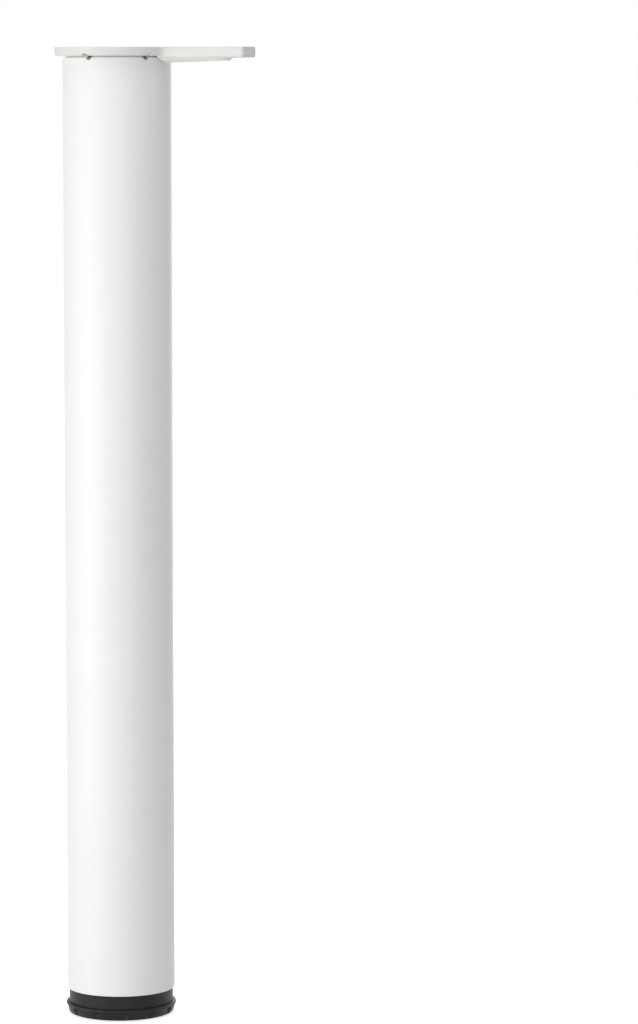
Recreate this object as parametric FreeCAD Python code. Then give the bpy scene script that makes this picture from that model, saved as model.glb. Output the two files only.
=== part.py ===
import FreeCAD, Part
import math
import os

# A round steel table leg. A die-cast plate with two arms carries its upper end, and a moulded foot on a
# screw spindle levels its lower end. Millimetres, Z up along the tube's axis, Z = 0 at the floor under
# the glide. The plate's arms point along +X and +Y.

# Tube and overall height
TUBE_OD = 80.0
TUBE_WALL = 1.0
CLOSED_HEIGHT = 710.0  # floor to table face with the foot screwed home
FOOT_TRAVEL = 20.0  # how far the foot screws out of its home position
FOOT_OUT = 10.0  # how far it is screwed out as modelled
RIM_GAP = 1.1  # shadow gap between the tube's rim and the plate

# Mounting plate: flange
FLANGE_OVERHANG = 6.0  # past the tube's wall
FLANGE_THICKNESS = 6.5
FLANGE_EDGE_BEVEL = 1.4
TOP_EDGE_BEVEL = 0.5

# Mounting plate: arms and the rib under each
ARM_ANGLES = (0.0, 90.0)
ARM_WIDTH = 20.0
ARM_REACH = 112.5  # from the tube's axis
ARM_THICKNESS = 8.0
ARM_CORNER_R = 3.0
ARM_EDGE_BEVEL = 1.2
ARM_WEB_R = 4.0  # concave corner between arm and flange, in plan
ARM_TUBE_GAP = 1.0
RIB_WIDTH = 15.4  # at the arm's underside
RIB_DEPTH_ROOT = 11.4  # below the table face
RIB_DEPTH_TIP = 9.9
RIB_ROOT_SLANT = 4.0  # how far its lower edge starts out from the arm's
RIB_END_TO_HOLE = 6.5
RIB_EDGE_BEVEL = 2.4

# Mounting plate: casting pockets in the top, which thin the arms and the flange
POCKET_WALL = 3.0
POCKET_CORNER_R = 2.5
ARM_POCKET_DEPTH = 4.5
ARM_POCKET_FROM_FLANGE = 4.0
ARM_POCKET_TO_HOLE = 12.0
FLANGE_POCKET_DEPTH = 3.0
FLANGE_POCKET_WIDTH = 10.0
FLANGE_POCKET_INSET = 2.2  # from the spigot's outside
FLANGE_POCKET_MARGIN = 20.0  # degrees kept solid each side of a clamp screw

# Mounting plate: holes for countersunk wood screws, driven from below
WOOD_SCREW_R = 2.75
WOOD_SCREW_HEAD_R = 5.25
ARM_HOLE_TO_TIP = 8.5
HUB_HOLE_PCD = 30.0
HUB_HOLE_ANGLES = (45.0, 135.0, 225.0, 315.0)

# Mounting plate: spigot that centres the leg, and the bosses of the clamp screws
SPIGOT_WALL = 4.7
SPIGOT_DEPTH = 8.0
SPIGOT_CLEARANCE = 0.3
BOSS_WALL = 2.5  # round a clamp screw's bore
BOSS_LENGTH = 12.7
RECESS_DEPTH = 4.3  # groove in the flange that takes the neck of the leg's ring
RECESS_CLEARANCE = 0.3

# Clamp screws: hollow-socket set screws that back out against the leg's ring
CLAMP_ANGLES = (117.0, 180.0, 270.0, 333.0)
CLAMP_R = 4.0
CLAMP_LENGTH = 11.0
CLAMP_SOCKET_AF = 4.0
CLAMP_SOCKET_DEPTH = 4.5
CLAMP_SEAT_GAP = 0.05
KEY_HOLE_R = 2.5

# Steel ring in the top of the tube
RING_WALL = 4.0
RING_NECK_WALL = 2.4  # above the tube's rim
RING_BELOW_RIM = 20.0
SEAT_MOUTH_PLAY = 0.2  # the conical seat's mouth is this much wider than the screw

# Pressed carrier in the bottom of the tube, with a hexagon nut under its web
CARRIER_WALL = 2.5
CARRIER_RIM = 14.0
CARRIER_BEND = 2.0
CARRIER_HOLE_PLAY = 0.6
FOOT_TO_CARRIER_GAP = 6.0  # with the foot screwed home
NUT_HEIGHT = 8.4
NUT_AF = 16.0
THREAD_CLEARANCE = 0.1
THREAD_BEVEL = 0.8

# Spindle: a hexagon-headed screw, moulded into the foot, with a thin nut locked on its end
SPINDLE_R = 5.0
HEAD_AF = 16.0
HEAD_HEIGHT = 6.4
STOP_NUT_HEIGHT = 5.0
STOP_GAP = 0.3
SPINDLE_PAST_NUT = 1.7

# Moulded foot
SKIRT_CLEARANCE = 0.3
SKIRT_WALL = 3.0
SKIRT_GUIDE = 8.7  # skirt left in the tube with the foot screwed right out
LIP_TOP = 9.0
LIP_THICKNESS = 2.0
LIP_PAST_TUBE = 1.0
LIP_BEVEL = 0.9
CLOSED_GAP = 0.3  # between lip and tube with the foot screwed home
LIP_OVERHANG = 0.6  # past the top of the grip
LIP_SLOPE = 0.4  # height of the slope under the lip
GRIP_TAPER = 1.6  # how much the grip narrows towards the base
BASE_RIM = 3.8  # wall round the glide's recess
BASE_BEVEL = 1.2
FLOOR_THICKNESS = 3.0
GROOVE_COUNT = 12
GROOVE_R = 4.4
GROOVE_OUTSET = 1.3  # groove's centre past the lip
GROOVE_PHASE = 4.0
FOOT_BOSS_WALL = 4.8  # round the corners of the spindle's head
FOOT_BOSS_ABOVE_HEAD = 12.0
FOOT_RIB_COUNT = 8
FOOT_RIB_WIDTH = 2.0
FOOT_RIB_HEIGHT = 12.6
FOOT_TOP_BEVEL = 0.8

# Glide: a disc that stays still on the floor while the foot turns on it
GLIDE_THICKNESS = 2.1
GLIDE_PROUD = 0.8  # how far it stands below the foot
GLIDE_BEVEL = 0.8
GLIDE_SIDE_GAP = 0.6
GLIDE_GAP = 0.3
GLIDE_BOSS_R = 11.0
GLIDE_BOSS_HEIGHT = 2.5
GLIDE_BOSS_GAP = 0.4
THRUST_GAP = 0.1
GLIDE_WASHER_INSET = 1.0  # inside the glide's boss
GLIDE_WASHER_THICKNESS = 1.0
STUD_R = 3.0
STUD_CLEARANCE = 0.1
STUD_LENGTH = 6.1
STUD_TIP_R = 2.4
BEAD_HEIGHT = 0.4
BEAD_START = 4.0  # above the glide's boss
BEAD_FLAT = 0.4
GROOVE_PLAY = 0.3

# Worked-out sizes and levels
TABLE_FACE = CLOSED_HEIGHT + FOOT_OUT
TUBE_R = TUBE_OD / 2
BORE_R = TUBE_R - TUBE_WALL
FLANGE_R = TUBE_R + FLANGE_OVERHANG
FLANGE_UNDER = TABLE_FACE - FLANGE_THICKNESS
ARM_UNDER = TABLE_FACE - ARM_THICKNESS
ARM_START = TUBE_R + ARM_TUBE_GAP
ARM_HOLE_AT = ARM_REACH - ARM_HOLE_TO_TIP
RIB_END = ARM_HOLE_AT - RIB_END_TO_HOLE
ARM_POCKET_START = FLANGE_R + ARM_POCKET_FROM_FLANGE
ARM_POCKET_END = ARM_HOLE_AT - ARM_POCKET_TO_HOLE
TUBE_TOP = FLANGE_UNDER - RIM_GAP
TUBE_BOTTOM = LIP_TOP + CLOSED_GAP + FOOT_OUT
CLAMP_LEVEL = TUBE_TOP + RIM_GAP / 2
RECESS_TOP = FLANGE_UNDER + RECESS_DEPTH
RING_INNER_R = BORE_R - RING_WALL
NECK_R = RING_INNER_R + RING_NECK_WALL
SPIGOT_R = RING_INNER_R - SPIGOT_CLEARANCE
FLANGE_POCKET_OUT = SPIGOT_R - FLANGE_POCKET_INSET
FLANGE_POCKET_IN = FLANGE_POCKET_OUT - FLANGE_POCKET_WIDTH
BOSS_R = CLAMP_R + BOSS_WALL
BOSS_START = SPIGOT_R - BOSS_LENGTH
CLAMP_BEVEL = CLAMP_R - KEY_HOLE_R
SEAT_MOUTH_R = CLAMP_R + SEAT_MOUTH_PLAY
SKIRT_R = BORE_R - SKIRT_CLEARANCE
SKIRT_TOP = LIP_TOP + CLOSED_GAP + FOOT_TRAVEL + SKIRT_GUIDE
LIP_BOTTOM = LIP_TOP - LIP_THICKNESS
GRIP_TOP = LIP_BOTTOM - LIP_SLOPE
LIP_R = TUBE_R + LIP_PAST_TUBE
GRIP_TOP_R = LIP_R - LIP_OVERHANG
BASE_R = GRIP_TOP_R - GRIP_TAPER
FOOT_RECESS_R = BASE_R - BASE_RIM
GLIDE_R = FOOT_RECESS_R - GLIDE_SIDE_GAP
WEB_UNDER = SKIRT_TOP + FOOT_OUT + FOOT_TO_CARRIER_GAP
WEB_TOP = WEB_UNDER + CARRIER_WALL
STOP_NUT_UNDER = WEB_TOP + FOOT_TRAVEL - FOOT_OUT + STOP_GAP
STOP_NUT_TOP = STOP_NUT_UNDER + STOP_NUT_HEIGHT
SPINDLE_TOP = STOP_NUT_TOP + SPINDLE_PAST_NUT
GLIDE_BOSS_TOP = GLIDE_THICKNESS + GLIDE_BOSS_HEIGHT
WASHER_UNDER = GLIDE_BOSS_TOP + THRUST_GAP
HEAD_UNDER = WASHER_UNDER + GLIDE_WASHER_THICKNESS
HEAD_TOP = HEAD_UNDER + HEAD_HEIGHT
FOOT_RECESS_TOP = GLIDE_THICKNESS + GLIDE_GAP
FOOT_FLOOR_TOP = FOOT_RECESS_TOP + FLOOR_THICKNESS
FOOT_BOSS_R = HEAD_AF / math.sqrt(3) + FOOT_BOSS_WALL
FOOT_BOSS_TOP = HEAD_TOP + FOOT_BOSS_ABOVE_HEAD

AXIS_POINT = FreeCAD.Vector(0, 0, 0)
UP = FreeCAD.Vector(0, 0, 1)
OUTWARD = FreeCAD.Vector(1, 0, 0)
MATCH = 1e-4  # how closely an edge is matched to a size


def cylinder(radius, low, high, x=0.0, y=0.0):
    return Part.makeCylinder(radius, high - low, FreeCAD.Vector(x, y, low))


def ring(outer, inner, low, high):
    return cylinder(outer, low, high).cut(cylinder(inner, low, high))


def box(x_low, x_high, width, low, high):
    corner = FreeCAD.Vector(x_low, -width / 2, low)
    return Part.makeBox(x_high - x_low, width, high - low, corner)


def turned(shape, angle):
    copy = shape.copy()
    copy.rotate(AXIS_POINT, UP, angle)
    return copy


def fused(shapes):
    return shapes[0].fuse(shapes[1:]).removeSplitter()


def lathe(points):
    """Revolve a closed outline of (radius, height) points about the tube's axis."""
    corners = [FreeCAD.Vector(radius, 0, height) for radius, height in points]
    outline = Part.makePolygon(corners + corners[:1])
    return Part.Face(outline).revolve(AXIS_POINT, UP, 360)


def lathe_sector(inner, outer, low, high, span):
    corners = [FreeCAD.Vector(radius, 0, height) for radius, height in
               ((inner, low), (outer, low), (outer, high), (inner, high))]
    outline = Part.makePolygon(corners + corners[:1])
    return Part.Face(outline).revolve(AXIS_POINT, UP, span)


def rims(shape, radius, height):
    """The circular edges of that radius at that height."""
    found = []
    for edge in shape.Edges:
        curve = edge.Curve
        if isinstance(curve, Part.Circle) and abs(curve.Radius - radius) < MATCH:
            if abs(curve.Center.z - height) < MATCH:
                found.append(edge)
    return found


def level_edges(shape, height):
    """The edges that lie flat at that height."""
    return [edge for edge in shape.Edges if abs(edge.BoundBox.ZMin - height) < MATCH
            and abs(edge.BoundBox.ZMax - height) < MATCH]


def upright_edges(shape, x):
    """The vertical edges at that distance along X."""
    return [edge for edge in shape.Edges if edge.BoundBox.ZLength > MATCH
            and abs(edge.BoundBox.XMin - x) < MATCH and abs(edge.BoundBox.XMax - x) < MATCH]


def hexagon(across_flats, low, high):
    corner_r = across_flats / math.sqrt(3)
    corners = []
    for side in range(6):
        angle = math.radians(60 * side + 30)
        corners.append(FreeCAD.Vector(corner_r * math.cos(angle), corner_r * math.sin(angle), low))
    outline = Part.makePolygon(corners + corners[:1])
    return Part.Face(outline).extrude(UP * (high - low))


def bevelled_hexagon(across_flats, low, high):
    """A hexagon whose corners are turned off at 30 degrees at both faces."""
    corner_r = across_flats / math.sqrt(3)
    face_r = across_flats * 0.475
    drop = (corner_r - face_r) * math.tan(math.radians(30))
    envelope = lathe([(0, low), (face_r, low), (corner_r, low + drop), (corner_r, high - drop),
                      (face_r, high), (0, high)])
    return hexagon(across_flats, low, high).common(envelope)


def threaded_nut(across_flats, bore_r, low, high):
    """A hexagon nut with a countersunk bore."""
    mouth_r = bore_r + THREAD_BEVEL
    bore = lathe([(0, low), (mouth_r, low), (bore_r, low + THREAD_BEVEL), (bore_r, high - THREAD_BEVEL),
                  (mouth_r, high), (0, high)])
    return bevelled_hexagon(across_flats, low, high).cut(bore)


def radial(profile, angle):
    """Revolve (radius, distance from the tube's axis) points about a clamp screw's own axis."""
    corners = [FreeCAD.Vector(distance, 0, CLAMP_LEVEL + radius) for radius, distance in profile]
    outline = Part.makePolygon(corners + corners[:1])
    centre = FreeCAD.Vector(0, 0, CLAMP_LEVEL)
    return turned(Part.Face(outline).revolve(centre, OUTWARD, 360), angle)


def radial_pin(radius, start, end, angle):
    return radial([(0, start), (radius, start), (radius, end), (0, end)], angle)


def arm_corner(side, low, high):
    """The concave corner between one side of an arm and the flange."""
    half = ARM_WIDTH / 2
    centre_x = math.sqrt((FLANGE_R + ARM_WEB_R) ** 2 - (half + ARM_WEB_R) ** 2)
    centre = FreeCAD.Vector(centre_x, side * (half + ARM_WEB_R), low)
    on_arm = FreeCAD.Vector(centre_x, side * half, low)
    on_flange = FreeCAD.Vector(centre.x, centre.y, 0) * (FLANGE_R / (FLANGE_R + ARM_WEB_R))
    on_flange.z = low
    inside = FreeCAD.Vector(TUBE_R, 0, low)
    towards = (on_arm + on_flange) * 0.5 - centre
    middle = centre + towards * (ARM_WEB_R / towards.Length)
    edges = [Part.LineSegment(inside, on_arm).toShape(),
             Part.Arc(on_arm, middle, on_flange).toShape(),
             Part.LineSegment(on_flange, inside).toShape()]
    return Part.Face(Part.Wire(edges)).extrude(UP * (high - low))


def plate_outline():
    """Flange and arms in plan at the flange's thickness, with bevelled edges."""
    pieces = [cylinder(FLANGE_R, FLANGE_UNDER, TABLE_FACE)]
    for angle in ARM_ANGLES:
        bar = box(0, ARM_REACH, ARM_WIDTH, FLANGE_UNDER, TABLE_FACE)
        bar = bar.makeFillet(ARM_CORNER_R, upright_edges(bar, ARM_REACH))
        pieces.append(turned(bar, angle))
        for side in (-1, 1):
            pieces.append(turned(arm_corner(side, FLANGE_UNDER, TABLE_FACE), angle))
    plate = fused(pieces)
    plate = plate.makeChamfer(FLANGE_EDGE_BEVEL, level_edges(plate, FLANGE_UNDER))
    return plate.makeChamfer(TOP_EDGE_BEVEL, level_edges(plate, TABLE_FACE))


def arm_keel():
    """The deeper body of an arm outside the tube, and the rib under it."""
    keel = box(ARM_START, ARM_REACH, ARM_WIDTH, ARM_UNDER, TABLE_FACE - TOP_EDGE_BEVEL)
    keel = keel.makeFillet(ARM_CORNER_R, upright_edges(keel, ARM_REACH))
    lower = [edge for edge in level_edges(keel, ARM_UNDER) if edge.BoundBox.XMax > ARM_START + MATCH]
    keel = keel.makeChamfer(ARM_EDGE_BEVEL, lower)
    half = RIB_WIDTH / 2
    root = TABLE_FACE - RIB_DEPTH_ROOT
    tip = TABLE_FACE - RIB_DEPTH_TIP
    low_start = ARM_START + RIB_ROOT_SLANT
    side_view = [FreeCAD.Vector(x, -half, height) for x, height in
                 ((low_start, root), (RIB_END, tip), (RIB_END, FLANGE_UNDER), (ARM_START, FLANGE_UNDER),
                  (ARM_START, ARM_UNDER))]
    outline = Part.makePolygon(side_view + side_view[:1])
    rib = Part.Face(outline).extrude(FreeCAD.Vector(0, RIB_WIDTH, 0))
    rounded_end = fused([box(0, RIB_END - half, RIB_WIDTH, root, FLANGE_UNDER),
                         cylinder(half, root, FLANGE_UNDER, RIB_END - half)])
    rib = rib.common(rounded_end)
    under = [edge for edge in rib.Edges if edge.BoundBox.ZMax < ARM_UNDER - MATCH
             and edge.BoundBox.XMax > low_start + MATCH]
    return keel, rib.makeChamfer(RIB_EDGE_BEVEL, under)


def wood_screw_hole(distance, angle, under):
    hole = cylinder(WOOD_SCREW_R, under, TABLE_FACE, distance)
    depth = WOOD_SCREW_HEAD_R - WOOD_SCREW_R
    head = Part.makeCone(WOOD_SCREW_HEAD_R, WOOD_SCREW_R, depth, FreeCAD.Vector(distance, 0, under))
    return turned(hole.fuse(head), angle)


def arm_pocket():
    pocket = box(ARM_POCKET_START, ARM_POCKET_END, ARM_WIDTH - 2 * POCKET_WALL,
                 TABLE_FACE - ARM_POCKET_DEPTH, TABLE_FACE)
    corners = upright_edges(pocket, ARM_POCKET_START) + upright_edges(pocket, ARM_POCKET_END)
    return pocket.makeFillet(POCKET_CORNER_R, corners)


def flange_pockets():
    """Curved pockets in the top, one in each gap between clamp screws that has room for it."""
    pockets = []
    floor = TABLE_FACE - FLANGE_POCKET_DEPTH
    for index, first in enumerate(CLAMP_ANGLES):
        following = CLAMP_ANGLES[(index + 1) % len(CLAMP_ANGLES)]
        span = (following - first) % 360 - 2 * FLANGE_POCKET_MARGIN
        sector = lathe_sector(FLANGE_POCKET_IN, FLANGE_POCKET_OUT, floor, TABLE_FACE, span)
        sector = sector.makeFillet(POCKET_CORNER_R, [edge for edge in sector.Edges
                                                     if isinstance(edge.Curve, Part.Line)
                                                     and edge.BoundBox.ZLength > MATCH])
        pockets.append(turned(sector, first + FLANGE_POCKET_MARGIN))
    return pockets


def mounting_plate():
    pieces = [plate_outline()]
    for angle in ARM_ANGLES:
        for piece in arm_keel():
            pieces.append(turned(piece, angle))
    pieces.append(cylinder(SPIGOT_R, FLANGE_UNDER - SPIGOT_DEPTH, FLANGE_UNDER))
    plate = fused(pieces)
    plate = plate.cut(cylinder(SPIGOT_R - SPIGOT_WALL, FLANGE_UNDER - SPIGOT_DEPTH, FLANGE_UNDER))
    bosses = [radial_pin(BOSS_R, BOSS_START, BORE_R, angle) for angle in CLAMP_ANGLES]
    inside_spigot = cylinder(SPIGOT_R, FLANGE_UNDER - SPIGOT_DEPTH, RECESS_TOP)
    plate = fused([plate] + [boss.common(inside_spigot) for boss in bosses])
    plate = plate.cut(ring(NECK_R + RECESS_CLEARANCE, SPIGOT_R, FLANGE_UNDER, RECESS_TOP))
    cuts = flange_pockets()
    for angle in CLAMP_ANGLES:
        cuts.append(radial_pin(CLAMP_R, BOSS_START - BOSS_WALL, RING_INNER_R, angle))
        cuts.append(radial_pin(KEY_HOLE_R, NECK_R, FLANGE_R, angle))
    for angle in ARM_ANGLES:
        cuts.append(turned(arm_pocket(), angle))
        cuts.append(wood_screw_hole(ARM_HOLE_AT, angle, ARM_UNDER))
    for angle in HUB_HOLE_ANGLES:
        cuts.append(wood_screw_hole(HUB_HOLE_PCD / 2, angle, FLANGE_UNDER))
    return plate.cut(cuts)


def clamp_screws():
    """Set screws with the key socket in the bevelled outer end."""
    full_end = RING_INNER_R + SEAT_MOUTH_R - CLAMP_R - CLAMP_SEAT_GAP
    outer_end = full_end + CLAMP_BEVEL
    inner_end = outer_end - CLAMP_LENGTH
    screws = []
    for angle in CLAMP_ANGLES:
        screw = radial([(0, inner_end), (CLAMP_R, inner_end), (CLAMP_R, full_end),
                        (CLAMP_R - CLAMP_BEVEL, outer_end), (0, outer_end)], angle)
        socket = hexagon(CLAMP_SOCKET_AF, 0, CLAMP_SOCKET_DEPTH)
        socket.rotate(AXIS_POINT, FreeCAD.Vector(0, 1, 0), 90)
        socket.translate(FreeCAD.Vector(outer_end - CLAMP_SOCKET_DEPTH, 0, CLAMP_LEVEL))
        screws.append(screw.cut(turned(socket, angle)))
    return Part.makeCompound(screws)


def top_ring():
    """Ring that fills the tube's end, with a neck that stands above the rim into the plate's groove."""
    low = TUBE_TOP - RING_BELOW_RIM
    body = lathe([(RING_INNER_R, low), (BORE_R, low), (BORE_R, TUBE_TOP), (NECK_R, TUBE_TOP),
                  (NECK_R, RECESS_TOP), (RING_INNER_R, RECESS_TOP)])
    seat_depth = SEAT_MOUTH_R - KEY_HOLE_R
    cuts = []
    for angle in CLAMP_ANGLES:
        cuts.append(radial([(0, SPIGOT_R - SPIGOT_WALL), (SEAT_MOUTH_R, SPIGOT_R - SPIGOT_WALL),
                            (SEAT_MOUTH_R, RING_INNER_R), (KEY_HOLE_R, RING_INNER_R + seat_depth),
                            (KEY_HOLE_R, BORE_R + TUBE_WALL), (0, BORE_R + TUBE_WALL)], angle))
    return body.cut(cuts)


def leg_tube():
    tube = ring(TUBE_R, BORE_R, TUBE_BOTTOM, TUBE_TOP)
    return tube.cut([radial_pin(KEY_HOLE_R, BORE_R - TUBE_WALL, FLANGE_R, angle)
                     for angle in CLAMP_ANGLES])


def nut_carrier():
    rim_top = WEB_UNDER + CARRIER_RIM
    rim_inner = BORE_R - CARRIER_WALL
    hole_r = SPINDLE_R + CARRIER_HOLE_PLAY
    cup = lathe([(hole_r, WEB_UNDER), (BORE_R, WEB_UNDER), (BORE_R, rim_top), (rim_inner, rim_top),
                 (rim_inner, WEB_TOP), (hole_r, WEB_TOP)])
    return cup.makeChamfer(CARRIER_BEND, rims(cup, BORE_R, WEB_UNDER) + rims(cup, rim_inner, WEB_TOP))


def spindle_nut():
    return threaded_nut(NUT_AF, SPINDLE_R + THREAD_CLEARANCE, WEB_UNDER - NUT_HEIGHT, WEB_UNDER)


def stop_nut():
    return threaded_nut(NUT_AF, SPINDLE_R, STOP_NUT_UNDER, STOP_NUT_TOP)


def spindle():
    head = bevelled_hexagon(HEAD_AF, HEAD_UNDER, HEAD_TOP)
    shank = lathe([(0, HEAD_TOP), (SPINDLE_R, HEAD_TOP), (SPINDLE_R, SPINDLE_TOP - THREAD_BEVEL),
                   (SPINDLE_R - THREAD_BEVEL, SPINDLE_TOP), (0, SPINDLE_TOP)])
    bore_r = STUD_R + STUD_CLEARANCE
    groove_r = STUD_R + BEAD_HEIGHT + GROOVE_PLAY
    groove_low = GLIDE_BOSS_TOP + BEAD_START - GROOVE_PLAY
    groove_high = GLIDE_BOSS_TOP + BEAD_START + 2 * BEAD_HEIGHT + BEAD_FLAT + GROOVE_PLAY
    bore_top = GLIDE_BOSS_TOP + STUD_LENGTH + GROOVE_PLAY
    bore = lathe([(0, HEAD_UNDER), (bore_r, HEAD_UNDER), (bore_r, groove_low), (groove_r, groove_low),
                  (groove_r, groove_high), (bore_r, groove_high), (bore_r, bore_top), (0, bore_top)])
    return fused([head, shank]).cut(bore)


def adjusting_foot():
    pocket_r = GLIDE_BOSS_R + GLIDE_BOSS_GAP
    skirt_inner = SKIRT_R - SKIRT_WALL
    foot = lathe([(FOOT_RECESS_R, GLIDE_PROUD), (BASE_R, GLIDE_PROUD), (GRIP_TOP_R, GRIP_TOP),
                  (LIP_R, LIP_BOTTOM), (LIP_R, LIP_TOP), (SKIRT_R, LIP_TOP), (SKIRT_R, SKIRT_TOP),
                  (skirt_inner, SKIRT_TOP), (skirt_inner, FOOT_FLOOR_TOP), (FOOT_BOSS_R, FOOT_FLOOR_TOP),
                  (FOOT_BOSS_R, FOOT_BOSS_TOP), (SPINDLE_R, FOOT_BOSS_TOP), (SPINDLE_R, HEAD_UNDER),
                  (pocket_r, HEAD_UNDER), (pocket_r, FOOT_RECESS_TOP), (FOOT_RECESS_R, FOOT_RECESS_TOP)])
    foot = foot.makeChamfer(BASE_BEVEL, rims(foot, BASE_R, GLIDE_PROUD))
    foot = foot.makeChamfer(LIP_BEVEL, rims(foot, LIP_R, LIP_TOP))
    upper_edges = rims(foot, SKIRT_R, SKIRT_TOP) + rims(foot, FOOT_BOSS_R, FOOT_BOSS_TOP)
    foot = foot.makeChamfer(FOOT_TOP_BEVEL, upper_edges)
    ribs = []
    for index in range(FOOT_RIB_COUNT):
        rib = box(FOOT_BOSS_R - FOOT_RIB_WIDTH, skirt_inner + FOOT_RIB_WIDTH / 2, FOOT_RIB_WIDTH,
                  FOOT_FLOOR_TOP - FOOT_RIB_WIDTH / 2, FOOT_FLOOR_TOP + FOOT_RIB_HEIGHT)
        ribs.append(turned(rib, 360 * index / FOOT_RIB_COUNT))
    foot = fused([foot] + ribs)
    groove = cylinder(GROOVE_R, 0, GRIP_TOP, LIP_R + GROOVE_OUTSET)
    cuts = [turned(groove, GROOVE_PHASE + 360 * index / GROOVE_COUNT) for index in range(GROOVE_COUNT)]
    cuts.append(hexagon(HEAD_AF, HEAD_UNDER, HEAD_TOP))
    return foot.cut(cuts)


def glide_pad():
    stud_top = GLIDE_BOSS_TOP + STUD_LENGTH
    bead_low = GLIDE_BOSS_TOP + BEAD_START
    bead_r = STUD_R + BEAD_HEIGHT
    pad = lathe([(0, 0), (GLIDE_R, 0), (GLIDE_R, GLIDE_THICKNESS), (GLIDE_BOSS_R, GLIDE_THICKNESS),
                 (GLIDE_BOSS_R, GLIDE_BOSS_TOP), (STUD_R, GLIDE_BOSS_TOP), (STUD_R, bead_low),
                 (bead_r, bead_low + BEAD_HEIGHT), (bead_r, bead_low + BEAD_HEIGHT + BEAD_FLAT),
                 (STUD_R, bead_low + 2 * BEAD_HEIGHT + BEAD_FLAT), (STUD_TIP_R, stud_top), (0, stud_top)])
    return pad.makeChamfer(GLIDE_BEVEL, rims(pad, GLIDE_R, 0))


def glide_washer():
    return ring(GLIDE_BOSS_R - GLIDE_WASHER_INSET, STUD_R + 2 * STUD_CLEARANCE, WASHER_UNDER, HEAD_UNDER)


NODES = {
    "mounting_plate": mounting_plate,
    "clamp_screws": clamp_screws,
    "top_ring": top_ring,
    "leg_tube": leg_tube,
    "nut_carrier": nut_carrier,
    "spindle_nut": spindle_nut,
    "spindle": spindle,
    "stop_nut": stop_nut,
    "adjusting_foot": adjusting_foot,
    "glide_pad": glide_pad,
    "glide_washer": glide_washer,
}

os.makedirs("parts", exist_ok=True)
for name, build in NODES.items():
    shape = build()
    print(name, "valid", shape.isValid(), "solids", len(shape.Solids), "volume", round(shape.Volume))
    shape.exportStep("parts/" + name + ".step")
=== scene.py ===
import math

import bmesh
import bpy
from mathutils import Matrix, Vector


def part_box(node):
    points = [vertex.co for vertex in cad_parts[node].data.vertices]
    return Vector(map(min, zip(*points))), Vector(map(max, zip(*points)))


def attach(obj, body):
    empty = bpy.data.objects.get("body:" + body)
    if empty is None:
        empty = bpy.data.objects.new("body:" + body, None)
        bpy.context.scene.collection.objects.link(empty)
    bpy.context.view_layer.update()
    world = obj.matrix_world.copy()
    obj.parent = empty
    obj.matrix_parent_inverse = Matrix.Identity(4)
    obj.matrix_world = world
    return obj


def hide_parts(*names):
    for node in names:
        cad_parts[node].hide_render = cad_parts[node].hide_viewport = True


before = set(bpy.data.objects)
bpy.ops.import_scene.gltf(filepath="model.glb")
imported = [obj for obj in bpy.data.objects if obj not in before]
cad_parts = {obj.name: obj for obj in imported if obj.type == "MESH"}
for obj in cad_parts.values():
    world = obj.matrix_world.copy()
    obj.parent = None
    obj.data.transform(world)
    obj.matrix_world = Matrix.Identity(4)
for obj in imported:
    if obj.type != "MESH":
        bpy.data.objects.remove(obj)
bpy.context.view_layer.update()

# Camera: the photograph's view, through a long lens that stands a little below the plate and is tipped
# down to the foot. The leg stands well left of the middle, so the lens is also turned to the right of it.
CAMERA_AZIMUTH = math.radians(31.40)
CAMERA_DISTANCE = 3.147
CAMERA_HEIGHT = 0.690
CAMERA_TIP = math.radians(5.69)
CAMERA_TURN = math.radians(2.704)
SENSOR_MM = 36.0
FOCAL_MM = 149.508
NEAREST_SEEN = 0.1
FARTHEST_SEEN = 50.0

lens = bpy.data.cameras.new("camera")
lens.sensor_width = SENSOR_MM
lens.lens = FOCAL_MM
lens.clip_start = NEAREST_SEEN
lens.clip_end = FARTHEST_SEEN
camera = bpy.data.objects.new("camera", lens)
bpy.context.scene.collection.objects.link(camera)
heading = CAMERA_AZIMUTH - CAMERA_TURN
sight = Vector((-math.sin(heading) * math.cos(CAMERA_TIP), math.cos(heading) * math.cos(CAMERA_TIP),
                -math.sin(CAMERA_TIP)))
camera.location = (CAMERA_DISTANCE * math.sin(CAMERA_AZIMUTH),
                   -CAMERA_DISTANCE * math.cos(CAMERA_AZIMUTH), CAMERA_HEIGHT)
camera.rotation_mode = "QUATERNION"
camera.rotation_quaternion = sight.to_track_quat("-Z", "Y")
bpy.context.scene.camera = camera


# Leg tube: a round steel tube, cut square, notched at its upper rim for the key and powder-coated white.
# The coat is smooth satin with the faint ripple that a baked powder leaves.
MM = 0.001
TUBE_WALL = 1.0
TUBE_EDGE = 0.3
TUBE_SEGMENTS = 256
HOLE_SEGMENTS = 48
KEY_HOLE_R = 2.5
KEY_CUT_REACH = 3.0
CLAMP_ANGLES = (117, 180, 270, 333)
RIM_GAP = 1.1
SHARP_ANGLE = math.radians(32)
SAME_POINT = 1e-4
SEAM_WELD = 5e-7
COAT_WHITE = (0.865, 0.86, 0.845, 1)
CLOUD_GLOSS = 0.08


def arc(across, up, radius, start, end, steps):
    """Points of an arc in one plane, with its angles in degrees."""
    turns = [math.radians(start + (end - start) * step / steps) for step in range(steps + 1)]
    return [Vector((across + radius * math.cos(turn), up + radius * math.sin(turn))) for turn in turns]


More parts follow.
